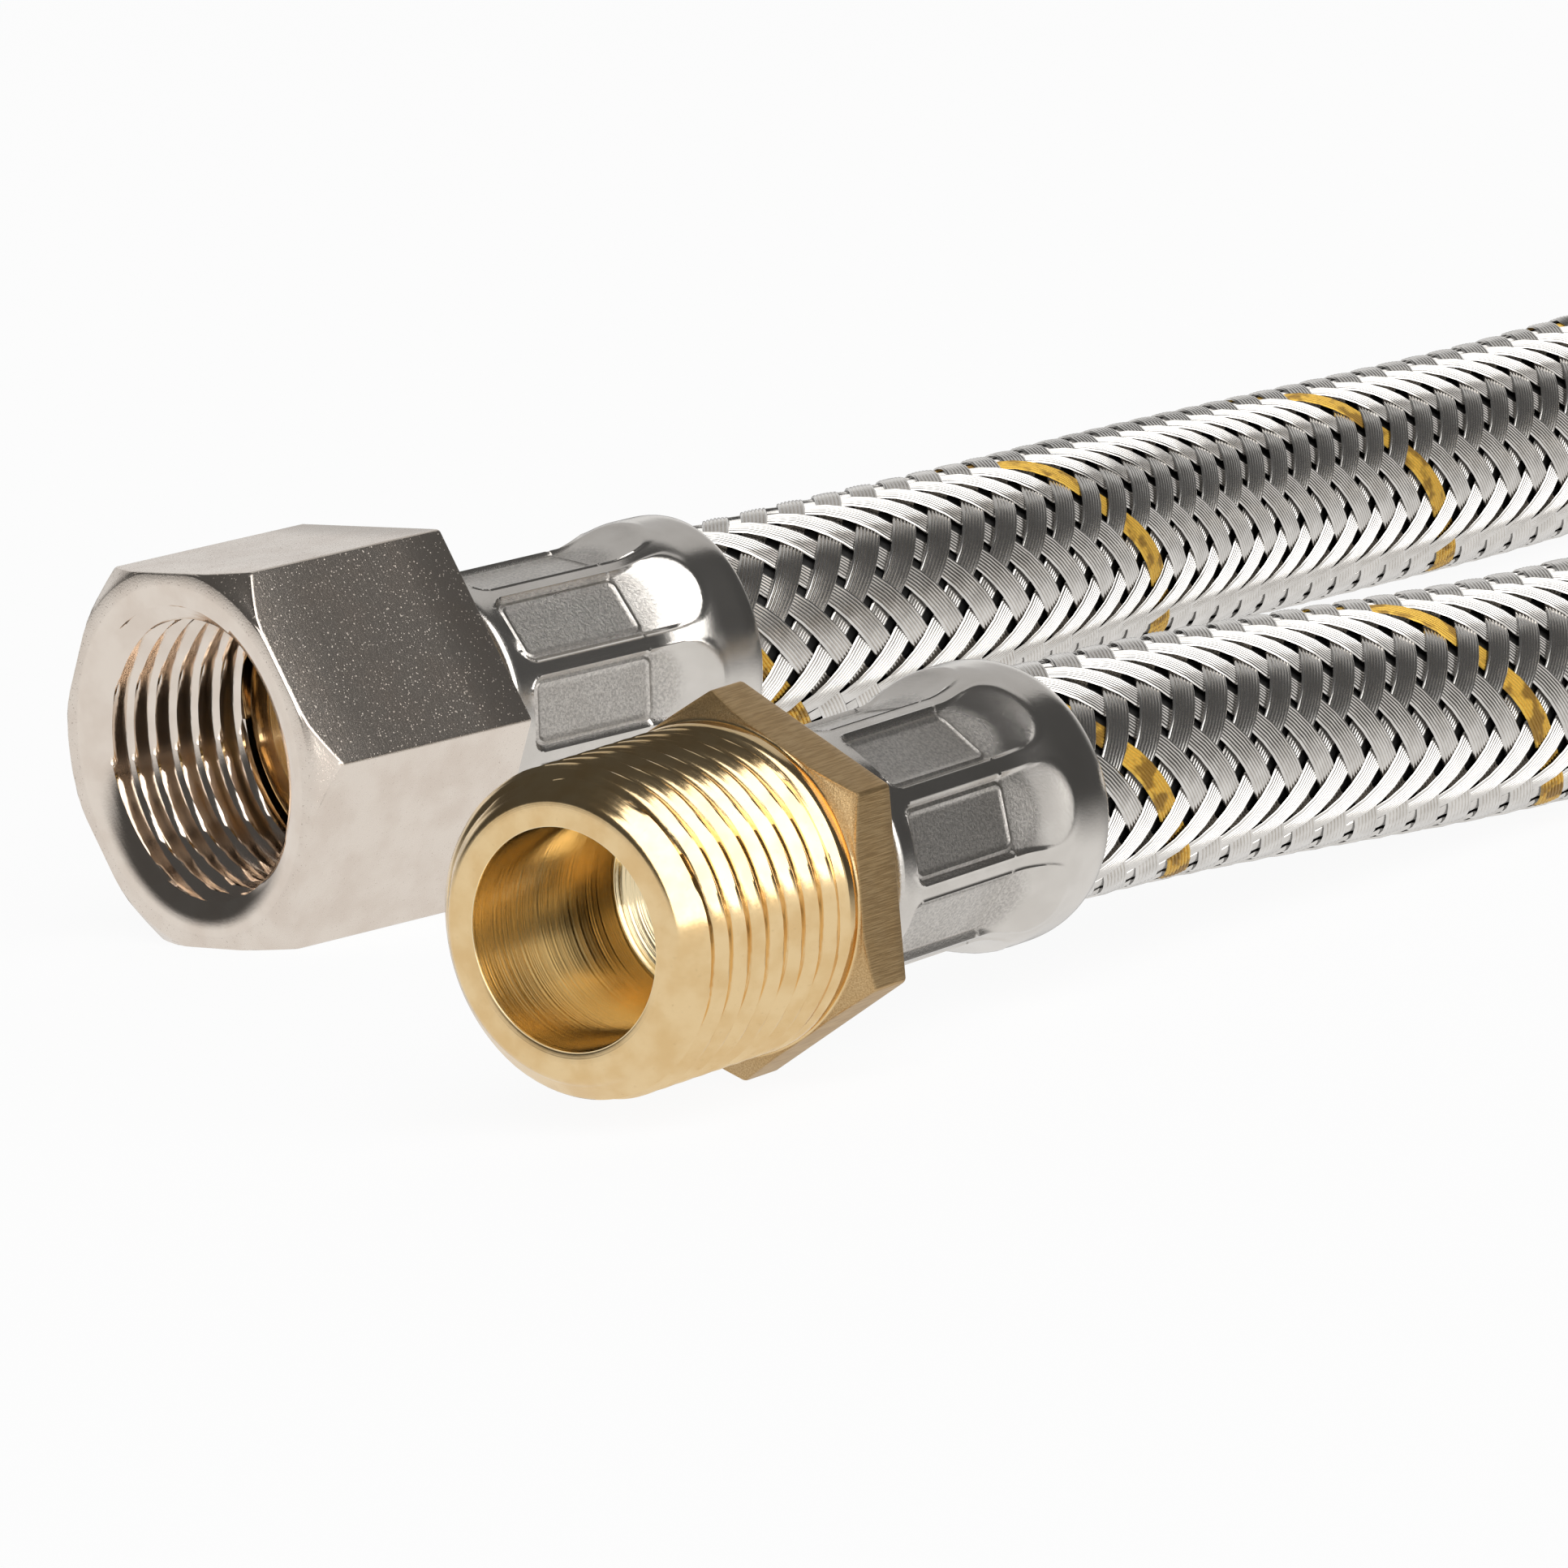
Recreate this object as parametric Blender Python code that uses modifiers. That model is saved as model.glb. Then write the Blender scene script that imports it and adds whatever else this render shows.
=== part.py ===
"""Braided gas hose: a short rubber hose under a stainless wire braid, with a swivel nut on one
end and a threaded male fitting on the other, each held by a crimped ferrule.

The hose lies on a flat surface. The nut rests on one of its flats with its axis along X, and the
male fitting rests near a corner of its hexagon. Each fitting is measured by its station: the
distance from its own front face towards the hose."""
import math

import bpy
import bmesh
import numpy as np
from mathutils import Matrix, Vector

for old in list(bpy.data.objects):
    bpy.data.objects.remove(old, do_unlink=True)

MM = 0.001

# Clearance between pieces that touch or turn in each other
GAP = 0.3 * MM

# Swivel nut: a hexagon with an internal half inch pipe thread
NUT_FLATS = 25.0 * MM
NUT_LENGTH = 17.5 * MM
NUT_RING_R = 12.8 * MM
NUT_CHAMFER_ANGLE = math.radians(46.5)
NUT_MOUTH_R = 11.1 * MM
NUT_MOUTH_DEPTH = 1.5 * MM
NUT_THREAD_R = 9.32 * MM
NUT_LIP = 2.2 * MM

# Flanged tail that the nut turns on
FLANGE_THICK = 2.6 * MM
FLANGE_BORE_R = 4.6 * MM
FLANGE_BORE_DEPTH = 3.0 * MM
FEMALE_NECK = 3.9 * MM

# Male fitting: thread, hexagon and tail turned from one bar
THREAD_R = 10.4 * MM
THREAD_LENGTH = 15.7 * MM
THREAD_TAPER = 1.8 * MM
MALE_RING_R = 8.7 * MM
MALE_BORE_R = 6.83 * MM
MALE_BORE_DEPTH = 14.4 * MM
HEX_FLATS = 21.0 * MM
HEX_THICK = 4.1 * MM
HEX_CHAMFER = 0.9 * MM
MALE_NECK = 3.7 * MM

# Necks and barbed tails, the same on both ends
NECK_R = 6.5 * MM
GROOVE_DEPTH = 1.1 * MM
TAIL_BORE_R = 2.5 * MM
BARB_COUNT = 5
BARB_PITCH = 3.2 * MM
BARB_DEPTH = 0.45 * MM

# Hose: wire braid over a rubber tube, and how far the crimp squeezes them
HOSE_R = 7.7 * MM
BRAID_WALL = 0.7 * MM
TUBE_WALL = 1.7 * MM
SQUEEZE = 1.0 * MM

# Ferrules
FERRULE_LENGTH = 20.7 * MM
FERRULE_WALL = 1.0 * MM
FERRULE_FRONT_WALL = 1.5 * MM
FERRULE_EDGE = 0.4 * MM
PANEL_START = 1.9 * MM
PANEL_LENGTH = 10.6 * MM
PANEL_WIDTH = 5.0 * MM
PANEL_DEPTH = 0.45 * MM
PANEL_COUNT = 8
BELL_RISE = 5.2 * MM
BELL_FALL = 1.4 * MM
RIM_WALL = 0.6 * MM

# Where the two ends lie and how they are turned
MALE_PLACE = (-39.1 * MM, -86.0 * MM)
MALE_YAW = math.radians(12.9)
MALE_ROLL = math.radians(2.5)
FEMALE_PANEL_TURN = math.radians(8.0)
MALE_PANEL_TURN = math.radians(-5.0)

# Route of the hose between the ferrules, from the nut's end round to the male end. Each point is
# in millimetres from the middle of the nut's front face, then its height as a share of the way
# from lying on the surface up to the axis of the nearer fitting.
FEMALE_LEG = [(52.2, 0.4, 0.99), (68, 2.9, 0.89), (86.7, 9.3, 0.69), (105.2, 16.2, 0.44),
              (124.2, 22.1, 0.21), (143.3, 27.4, 0.04)]
LOOP = [(162.3, 32.6), (181.9, 37.2), (201.2, 36.8), (219.9, 31.1), (236.6, 19.8), (249.2, 4.5),
        (256.4, -13.7), (257.8, -33.2), (254, -52.8), (244.7, -70.1), (230.8, -83.6), (212.8, -93),
        (193.4, -96.4), (174.1, -94.3), (155.8, -86.3), (140, -74.3), (123.9, -63.9),
        (104.4, -58.1), (84.8, -58.2)]
MALE_LEG = [(65.4, -62.1, 0.04), (46.1, -66.5, 0.35), (26.9, -70.9, 0.75), (11.3, -74.5, 0.97)]
HOSE_STATIONS = 62
HOSE_SIDES = 3

ROUND_STEPS = 40


def new_collection(name):
    collection = bpy.data.collections.new(name)
    bpy.context.scene.collection.children.link(collection)
    return collection


def material(name, colour, roughness, metallic):
    made = bpy.data.materials.new(name)
    made.use_nodes = True
    shader = made.node_tree.nodes["Principled BSDF"]
    shader.inputs["Base Color"].default_value = (*colour, 1.0)
    shader.inputs["Roughness"].default_value = roughness
    shader.inputs["Metallic"].default_value = metallic
    return made


PARTS = new_collection("braided_gas_hose")
CUTTERS = new_collection("cutters")
NICKEL = material("nickel_plate", (0.66, 0.64, 0.60), 0.30, 1.0)
BRASS = material("turned_brass", (0.78, 0.58, 0.28), 0.28, 1.0)
STEEL = material("dull_stainless", (0.60, 0.59, 0.57), 0.38, 1.0)
WIRE = material("bright_wire", (0.72, 0.71, 0.69), 0.25, 1.0)
RUBBER = material("black_rubber", (0.02, 0.02, 0.02), 0.80, 0.0)


def corner_radius(flats):
    return flats / 2 / math.cos(math.pi / 6)


def fittings_middle():
    """Middle, seen from above, of the box round the fittings, from the nut's front face."""
    male_x, male_y = MALE_PLACE
    low_x = male_x - MALE_RING_R * math.sin(MALE_YAW)
    high_x = NUT_LENGTH + FEMALE_NECK + FERRULE_LENGTH
    low_y = male_y + THREAD_TAPER * math.sin(MALE_YAW) - THREAD_R * math.cos(MALE_YAW)
    high_y = corner_radius(NUT_FLATS)
    return Vector(((low_x + high_x) / 2, (low_y + high_y) / 2, 0))


def end_frame(name, place, yaw):
    """An empty at a fitting's front face: its Z runs along the fitting, and its Y is up."""
    frame = bpy.data.objects.new(name, None)
    frame.location = place - fittings_middle()
    frame.rotation_euler = (math.pi / 2, 0, math.pi / 2 + yaw)
    PARTS.objects.link(frame)
    return frame


def add_part(name, data, finish, parent):
    part = bpy.data.objects.new(name, data)
    part.data.materials.append(finish)
    part.parent = parent
    PARTS.objects.link(part)
    return part


def turned(name, outer, inner, finish, parent):
    """A piece turned round its Z. Both outlines run from front to back as (station, radius)."""
    mesh = bpy.data.meshes.new(name)
    outline = [(radius, 0, station) for station, radius in list(reversed(outer)) + list(inner)]
    count = len(outline)
    mesh.from_pydata(outline, [(i, (i + 1) % count) for i in range(count)], [])
    part = add_part(name, mesh, finish, parent)
    screw = part.modifiers.new("turning", "SCREW")
    screw.axis = "Z"
    screw.steps = ROUND_STEPS
    screw.render_steps = ROUND_STEPS
    screw.use_merge_vertices = True
    screw.merge_threshold = 0.01 * MM
    screw.use_smooth_shade = True
    return part


def cut(part, bm, operation, parent):
    """Turn a bmesh into a cutter on the same frame and add the boolean that uses it."""
    name = f"{part.name}_cutter_{len(part.modifiers)}"
    mesh = bpy.data.meshes.new(name)
    bm.to_mesh(mesh)
    bm.free()
    cutter = bpy.data.objects.new(name, mesh)
    cutter.parent = parent
    cutter.hide_render = True
    cutter.display_type = "WIRE"
    CUTTERS.objects.link(cutter)
    boolean = part.modifiers.new(name, "BOOLEAN")
    boolean.operation = operation
    boolean.solver = "EXACT"
    boolean.object = cutter


def mill_hexagon(part, flats, length, turn, parent):
    """Keep what lies inside a hexagonal bar. At turn 0 the bar has one corner straight down."""
    bm = bmesh.new()
    radius = corner_radius(flats)
    bmesh.ops.create_cone(bm, cap_ends=True, segments=6, radius1=radius, radius2=radius,
                          depth=4 * length)
    bmesh.ops.rotate(bm, verts=bm.verts, matrix=Matrix.Rotation(turn, 3, "Z"))
    cut(part, bm, "INTERSECT", parent)


def press_panels(part, ferrule_front, turn, parent):
    """Flat panels that the crimping dies leave round a ferrule."""
    bm = bmesh.new()
    middle = ferrule_front + PANEL_START + PANEL_LENGTH / 2
    height = FERRULE_WALL + HOSE_R
    floor = crimp_radius() - PANEL_DEPTH
    for index in range(PANEL_COUNT):
        box = Matrix.Rotation(turn + index * math.tau / PANEL_COUNT, 4, "Z")
        box = box @ Matrix.Translation((floor + height / 2, 0, middle))
        box = box @ Matrix.Diagonal((height, PANEL_WIDTH, PANEL_LENGTH, 1))
        bmesh.ops.create_cube(bm, size=1, matrix=box)
    cut(part, bm, "DIFFERENCE", parent)


def crimp_bore():
    return HOSE_R - SQUEEZE + GAP


def crimp_radius():
    return crimp_bore() + FERRULE_WALL


def bell_bore():
    return HOSE_R + GAP


def bell_radius():
    return bell_bore() + FERRULE_WALL


def bell_curve(start, end, rise):
    """A smooth run of (share, radius) from one radius to another, flat at both ends or at the
    start alone."""
    shares = [i / 6 for i in range(1, 7)]
    if rise:
        return [(t, start + (end - start) * (1 - math.cos(math.pi * t)) / 2) for t in shares]
    return [(t, end + (start - end) * math.sqrt(1 - t * t * 0.98)) for t in shares]


def ferrule(name, front, turn, parent):
    back = front + FERRULE_LENGTH
    squeezed = front + PANEL_START + PANEL_LENGTH
    crest = squeezed + BELL_RISE
    outer = [(front, crimp_radius() - FERRULE_EDGE), (front + FERRULE_EDGE, crimp_radius()),
             (squeezed, crimp_radius())]
    outer += [(squeezed + t * BELL_RISE, r) for t, r in bell_curve(crimp_radius(), bell_radius(), True)]
    outer.append((back - BELL_FALL, bell_radius()))
    rim = bell_bore() + RIM_WALL
    outer += [(back - BELL_FALL * (1 - t), r) for t, r in bell_curve(bell_radius(), rim, False)]
    inner = [(front, groove_radius() + GAP), (front + FERRULE_FRONT_WALL, groove_radius() + GAP),
             (front + FERRULE_FRONT_WALL, crimp_bore()), (squeezed, crimp_bore()),
             (crest - BELL_RISE / 2, bell_bore()), (back, bell_bore())]
    part = turned(name, outer, inner, STEEL, parent)
    press_panels(part, front, turn, parent)


def groove_radius():
    return NECK_R - GROOVE_DEPTH


def barb_radius():
    return HOSE_R - BRAID_WALL - GAP - TUBE_WALL - SQUEEZE - GAP


def tail_outline(neck_start, ferrule_front):
    """The neck, the groove that the ferrule's front wall grips, and the barbs, front to back."""
    root = barb_radius() - BARB_DEPTH
    wall_back = ferrule_front + FERRULE_FRONT_WALL
    outline = [(neck_start, NECK_R), (ferrule_front - GAP, NECK_R),
               (ferrule_front - GAP, groove_radius()), (wall_back, groove_radius()),
               (wall_back, root)]
    for barb in range(BARB_COUNT):
        start = wall_back + (barb + 0.2) * BARB_PITCH
        outline += [(start, root), (start, barb_radius())]
        outline.append((start + 0.25 * BARB_PITCH, barb_radius()))
    outline.append((wall_back + (BARB_COUNT + 0.2) * BARB_PITCH, root))
    return outline


def swivel_nut(parent):
    blank = corner_radius(NUT_FLATS) + GAP
    flare = (blank - NUT_RING_R) / math.tan(NUT_CHAMFER_ANGLE)
    outer = [(0, NUT_RING_R), (flare, blank), (NUT_LENGTH, blank)]
    lip_front = NUT_LENGTH - NUT_LIP
    inner = [(0, NUT_MOUTH_R), (NUT_MOUTH_DEPTH, NUT_THREAD_R), (lip_front, NUT_THREAD_R),
             (lip_front, NECK_R + GAP), (NUT_LENGTH, NECK_R + GAP)]
    part = turned("swivel_nut", outer, inner, NICKEL, parent)
    mill_hexagon(part, NUT_FLATS, NUT_LENGTH, math.pi / 6, parent)


def female_tail(parent, ferrule_front):
    flange_back = NUT_LENGTH - NUT_LIP - GAP
    flange_front = flange_back - FLANGE_THICK
    flange_r = NUT_THREAD_R - GAP
    outer = [(flange_front, flange_r), (flange_back, flange_r)]
    outer += tail_outline(flange_back, ferrule_front)
    bore_end = flange_front + FLANGE_BORE_DEPTH
    inner = [(flange_front, FLANGE_BORE_R), (bore_end, FLANGE_BORE_R), (bore_end, TAIL_BORE_R),
             (outer[-1][0], TAIL_BORE_R)]
    turned("female_tail", outer, inner, BRASS, parent)


def male_fitting(parent, ferrule_front):
    hex_back = THREAD_LENGTH + HEX_THICK
    blank = corner_radius(HEX_FLATS) + HEX_CHAMFER
    hex_ring = HEX_FLATS / 2
    slope = (corner_radius(HEX_FLATS) - hex_ring) / HEX_CHAMFER
    flare = (blank - hex_ring) / slope
    outer = [(0, MALE_RING_R), (THREAD_TAPER, THREAD_R), (THREAD_LENGTH, THREAD_R),
             (THREAD_LENGTH, hex_ring), (THREAD_LENGTH + flare, blank), (hex_back, blank)]
    outer += tail_outline(hex_back, ferrule_front)
    bore_cone = MALE_BORE_DEPTH + (MALE_BORE_R - TAIL_BORE_R) / 2
    inner = [(0, MALE_BORE_R), (MALE_BORE_DEPTH, MALE_BORE_R), (bore_cone, TAIL_BORE_R),
             (outer[-1][0], TAIL_BORE_R)]
    part = turned("male_fitting", outer, inner, BRASS, parent)
    mill_hexagon(part, HEX_FLATS, outer[-1][0], MALE_ROLL, parent)


def hose_route():
    """Centres of the hose from inside one ferrule, along the surface, into the other."""
    def on_axis(place, yaw, height, station):
        return Vector((place[0] + station * math.cos(yaw), place[1] + station * math.sin(yaw), height))

    female_height = NUT_FLATS / 2
    male_height = corner_radius(HEX_FLATS) * math.cos(MALE_ROLL)
    female_front = NUT_LENGTH + FEMALE_NECK
    male_front = THREAD_LENGTH + HEX_THICK + MALE_NECK
    starts = [FERRULE_FRONT_WALL + GAP, FERRULE_LENGTH]
    points = [on_axis((0, 0), 0, female_height, female_front + s) for s in starts]
    for x, y, share in FEMALE_LEG:
        points.append(Vector((x * MM, y * MM, HOSE_R + share * (female_height - HOSE_R))))
    points += [Vector((x * MM, y * MM, HOSE_R)) for x, y in LOOP]
    for x, y, share in MALE_LEG:
        points.append(Vector((x * MM, y * MM, HOSE_R + share * (male_height - HOSE_R))))
    points += [on_axis(MALE_PLACE, MALE_YAW, male_height, male_front + s) for s in reversed(starts)]
    return points


def smooth_curve(points, steps):
    """A curve of even bend through all the points, read in even steps between each pair."""
    knots = np.array(points)
    spans = np.linalg.norm(np.diff(knots, axis=0), axis=1)
    slopes = np.diff(knots, axis=0) / spans[:, None]
    system = np.eye(len(knots))
    right = np.zeros_like(knots)
    right[0] = slopes[0]
    right[-1] = slopes[-1]
    for i in range(1, len(knots) - 1):
        system[i, i - 1:i + 2] = spans[i], 2 * (spans[i - 1] + spans[i]), spans[i - 1]
        right[i] = 3 * (spans[i] * slopes[i - 1] + spans[i - 1] * slopes[i])
    tangents = np.linalg.solve(system, right)
    curve = [Vector(knots[0])]
    for i, span in enumerate(spans):
        leave, arrive = tangents[i] * span, tangents[i + 1] * span
        for k in range(1, steps + 1):
            t = k / steps
            spot = knots[i] * (2 * t ** 3 - 3 * t ** 2 + 1) + leave * (t ** 3 - 2 * t ** 2 + t)
            spot = spot + knots[i + 1] * (3 * t ** 2 - 2 * t ** 3) + arrive * (t ** 3 - t ** 2)
            curve.append(Vector(spot))
    return curve


def read_at(curve, distances):
    """Points of a fine curve at the given distances along it."""
    found = []
    walked = 0.0
    index = 0
    for distance in distances:
        while index < len(curve) - 2 and walked + (curve[index + 1] - curve[index]).length < distance:
            walked += (curve[index + 1] - curve[index]).length
            index += 1
        step = curve[index + 1] - curve[index]
        share = min(1.0, (distance - walked) / step.length)
        found.append(curve[index] + step * share)
    return found


def hose_layer(name, radius, wall, finish):
    """One layer of the hose, from ferrule to ferrule, squeezed where the crimps hold it."""
    fine = smooth_curve(hose_route(), 12)
    total = sum((b - a).length for a, b in zip(fine, fine[1:]))
    inside = FERRULE_FRONT_WALL + GAP
    squeeze_end = PANEL_START + PANEL_LENGTH - inside
    squeezed = [0.0, squeeze_end, squeeze_end + BELL_RISE / 2 + GAP]
    free = total - 2 * squeezed[2]
    evenly = [squeezed[2] + free * i / HOSE_STATIONS for i in range(1, HOSE_STATIONS)]
    distances = squeezed + evenly + [total - d for d in reversed(squeezed)]
    curve = bpy.data.curves.new(name, "CURVE")
    curve.dimensions = "3D"
    curve.bevel_depth = radius
    curve.bevel_resolution = HOSE_SIDES
    spline = curve.splines.new("POLY")
    spline.points.add(len(distances) - 1)
    middle = fittings_middle()
    for point, place, distance in zip(spline.points, read_at(fine, distances), distances):
        held = min(distance, total - distance) <= squeeze_end + 0.5 * GAP
        point.co = (*(place - middle), 1)
        point.radius = (radius - SQUEEZE) / radius if held else 1
    part = add_part(name, curve, finish, None)
    solid = part.modifiers.new("wall", "SOLIDIFY")
    solid.thickness = wall
    solid.offset = -1


female_front = NUT_LENGTH + FEMALE_NECK
male_front = THREAD_LENGTH + HEX_THICK + MALE_NECK
female_end = end_frame("female_end", Vector((0, 0, NUT_FLATS / 2)), 0)
male_height = corner_radius(HEX_FLATS) * math.cos(MALE_ROLL)
male_end = end_frame("male_end", Vector((*MALE_PLACE, male_height)), MALE_YAW)
swivel_nut(female_end)
female_tail(female_end, female_front)
ferrule("ferrule_female", female_front, FEMALE_PANEL_TURN, female_end)
male_fitting(male_end, male_front)
ferrule("ferrule_male", male_front, MALE_PANEL_TURN, male_end)
hose_layer("wire_braid", HOSE_R, BRAID_WALL, WIRE)
hose_layer("inner_tube", HOSE_R - BRAID_WALL - GAP, TUBE_WALL, RUBBER)
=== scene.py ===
import math

import bpy
import numpy as np
from mathutils import Matrix, Vector


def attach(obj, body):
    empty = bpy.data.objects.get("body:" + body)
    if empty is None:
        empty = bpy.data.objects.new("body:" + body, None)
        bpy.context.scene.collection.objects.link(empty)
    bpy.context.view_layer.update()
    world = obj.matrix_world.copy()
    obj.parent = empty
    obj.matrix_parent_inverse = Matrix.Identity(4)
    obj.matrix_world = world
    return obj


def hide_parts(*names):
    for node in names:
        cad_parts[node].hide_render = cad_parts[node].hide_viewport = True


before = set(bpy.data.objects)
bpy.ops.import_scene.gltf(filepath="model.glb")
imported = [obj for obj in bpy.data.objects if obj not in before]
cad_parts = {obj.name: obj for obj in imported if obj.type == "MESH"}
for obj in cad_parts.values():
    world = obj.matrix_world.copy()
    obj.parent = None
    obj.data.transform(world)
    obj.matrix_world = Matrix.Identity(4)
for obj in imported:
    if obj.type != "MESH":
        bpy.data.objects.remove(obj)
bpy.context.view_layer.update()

MM = 0.001

# Camera, fitted to the photo: place, turn clockwise from +Y, drop below level, tilt and lens
CAMERA_PLACE = (-635.9 * MM, -796.85 * MM, 163.06 * MM)
CAMERA_TURN = 0.6856
CAMERA_DROP = 0.1482
CAMERA_TILT = -0.1223
CAMERA_LENS = 372.67

# Origin of the part, in millimetres from the middle of the nut's front face
MIDDLE = (0.529, -40.651)

# Nut: sizes in millimetres, and places along it from its front face
NUT_FLATS = 25
NUT_LENGTH = 17.5
NUT_RING = 12.8
NUT_CHAMFER_ANGLE = math.radians(46.5)
NUT_FACE_INNER = 11.6
NUT_MOUTH = 10.9
NUT_MOUTH_SLOPE = 2.4
NUT_THREAD_MEAN = 9.85
NUT_THREAD_SWING = 0.63
NUT_THREAD_END = 12.2
NUT_RELIEF = 9.6
NUT_LIP = 2.2
NUT_LIP_BORE = 6.85
THREAD_PITCH = 1.814

# Tails, on which the ferrules are crimped
FLANGE_THICK = 2.6
FLANGE_R = 9.02
SEAT_BORE = 4.6
FEMALE_NECK = 3.9
MALE_NECK = 3.7
NECK_R = 6.5
GROOVE_R = 5.4
TAIL_R = 3.25
BARB_R = 3.7
BARB_PITCH = 3.2
BARBS = 5
TAIL_BORE = 2.5

# Male fitting, with its front face's middle from the nut's
MALE_PLACE = (-39.1, -86.0)
MALE_YAW = math.radians(12.9)
MALE_ROLL = math.radians(2.5)
MALE_BORE = 6.83
MALE_THREAD_R = 10.4
FLANK_DEPTH = 0.55
ROOT_DEPTH = 0.55
HEX_FLATS = 21
HEX_CHAMFER_ANGLE = math.radians(61)
HEX_FRONT = 15.7
HEX_BACK = 19.8

# Ferrules: eight pressed panels, and a bell over the hose
FERRULE_LENGTH = 20.7
FERRULE_R = 8.0
FERRULE_BORE = 7.0
FERRULE_MOUTH = 5.7
PANELS = 8
PANEL_FLOOR = 7.3
PANEL_FRONT = 1.9
PANEL_BACK = 12.2
PANEL_SIDE = 2.4
PANEL_CORNER = 0.8
PANEL_WALL_SLOPE = 1.7
BELL_START = 12.5
BELL_RUN = 5.2
RIM_ROUND = 0.4
UPPER_PANEL_TURN = math.pi + math.radians(8)
LOWER_PANEL_TURN = math.pi - math.radians(5)
FEMALE_START = NUT_LENGTH + FEMALE_NECK
FEMALE_RIM = FEMALE_START + FERRULE_LENGTH
MALE_START = HEX_BACK + MALE_NECK
MALE_RIM = MALE_START + FERRULE_LENGTH

# Hose: tube, and a braid of strands that rise or fall along it. A turn is in degrees.
HOSE_R = 7.7
TUBE_R = 6.9
TUBE_BORE = 5.0
ROUTE_STEPS = 40
LEAD = 41.4
STRANDS = 12
FIRST_RISING = -4.7
FIRST_FALLING = 20.9
WEAVE_TURN = 0.6
WEAVE_SHARPNESS = 1.2
BRAID_MEAN = 7.37
BRAID_LIFT = 0.18
STRAND_WIDTH = 1.76
STRAND_WIRES = 7
WIRE_CREST = 0.11
STRAND_CAMBER = 0.05
STRAND_THICK = 0.26
SQUEEZE_START = 4.5
SQUEEZE_RUN = 3.5
FINE_STEP = LEAD / 54
COARSE_STEP = LEAD / 30
FEMALE_SEEN = 112.0
MALE_SEEN = 66.0

# Route of the hose in millimetres from the nut's front face, each leg with its height as a
# share of the way from lying on the floor up to the axis of the nearer fitting
FEMALE_LEG = [(52.2, 0.4, 0.99), (68, 2.9, 0.89), (86.7, 9.3, 0.69), (105.2, 16.2, 0.44),
              (124.2, 22.1, 0.21), (143.3, 27.4, 0.04)]
LOOP = [(162.3, 32.6), (181.9, 37.2), (201.2, 36.8), (219.9, 31.1), (236.6, 19.8), (249.2, 4.5),
        (256.4, -13.7), (257.8, -33.2), (254, -52.8), (244.7, -70.1), (230.8, -83.6), (212.8, -93),
        (193.4, -96.4), (174.1, -94.3), (155.8, -86.3), (140, -74.3), (123.9, -63.9),
        (104.4, -58.1), (84.8, -58.2)]
MALE_LEG = [(65.4, -62.1, 0.04), (46.1, -66.5, 0.35), (26.9, -70.9, 0.75), (11.3, -74.5, 0.97)]


# Meshes

def skin(name, grids, capped=False):
    """One mesh of closed skins. Each grid holds rows of closed rings, and its last row meets its
    first, or both are capped."""
    points = []
    faces = []
    start = 0
    for grid in grids:
        rows, sides = grid.shape[:2]
        flat = grid.reshape(-1, 3)
        index = np.arange(rows * sides).reshape(rows, sides)
        if not capped:
            index = np.vstack([index, index[:1]])
        beside = np.roll(index, -1, axis=1)
        quads = np.stack([index[:-1], beside[:-1], beside[1:], index[1:]], axis=-1).reshape(-1, 4)
        corners = flat[quads] - flat.mean(axis=0)
        halves = np.cross(corners[:, 1], corners[:, 2]) + np.cross(corners[:, 2], corners[:, 3])
        inside_out = np.einsum("ij,ij->", corners[:, 0], halves) < 0
        found = (quads + start).tolist()
        if capped:
            found += [(index[0][::-1] + start).tolist(), (index[-1] + start).tolist()]
        if inside_out:
            found = [face[::-1] for face in found]
        faces += found
        points.append(flat)
        start += rows * sides
    mesh = bpy.data.meshes.new(name)
    mesh.from_pydata((np.concatenate(points) * MM).tolist(), [], faces)
    mesh.shade_smooth()
    mesh.set_sharp_from_angle(angle=math.radians(40))
    return mesh


def piece(name, mesh, finishes, body, place=None):
    made = bpy.data.objects.new(name, mesh)
    bpy.context.scene.collection.objects.link(made)
    for finish in finishes:
        mesh.materials.append(finish)
    if place is not None:
        made.matrix_world = place
    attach(made, body)
    return made


def corner_radius(flats):
    return flats / 2 / math.cos(math.pi / 6)


def end_place(x, y, height, yaw):
    """Frame at a fitting's front face: Z runs along the fitting and Y is up."""
    spot = Matrix.Translation(Vector((x - MIDDLE[0], y - MIDDLE[1], height)) * MM)
    return spot @ Matrix.Rotation(math.pi / 2 + yaw, 4, "Z") @ Matrix.Rotation(math.pi / 2, 4, "X")


def smoothstep(x):
    x = np.clip(x, 0, 1)
    return x * x * (3 - 2 * x)


def ring(stations, radii, angles):
    """A grid of points round Z from stations and radii, one row for each outline point."""
    stations, radii, angles = np.broadcast_arrays(stations, radii, angles)
    return np.stack([radii * np.cos(angles), radii * np.sin(angles), stations], axis=-1)


def eased(outline):
    """Closed outline of (station, radius, rounding) corners with each corner rounded off."""
    corners = np.array([corner[:2] for corner in outline], dtype=float)
    rows = []
    for i, corner in enumerate(corners):
        before = corners[i - 1] - corner
        after = corners[(i + 1) % len(corners)] - corner
        cut = outline[i][2]
        if not cut:
            rows.append(corner)
            continue
        reach = min(cut, 0.45 * np.linalg.norm(before), 0.45 * np.linalg.norm(after))
        first = corner + before / np.linalg.norm(before) * reach
        last = corner + after / np.linalg.norm(after) * reach
        for t in (0, 0.25, 0.5, 0.75, 1):
            rows.append(first * (1 - t) ** 2 + corner * 2 * t * (1 - t) + last * t * t)
    return np.array(rows)


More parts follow.
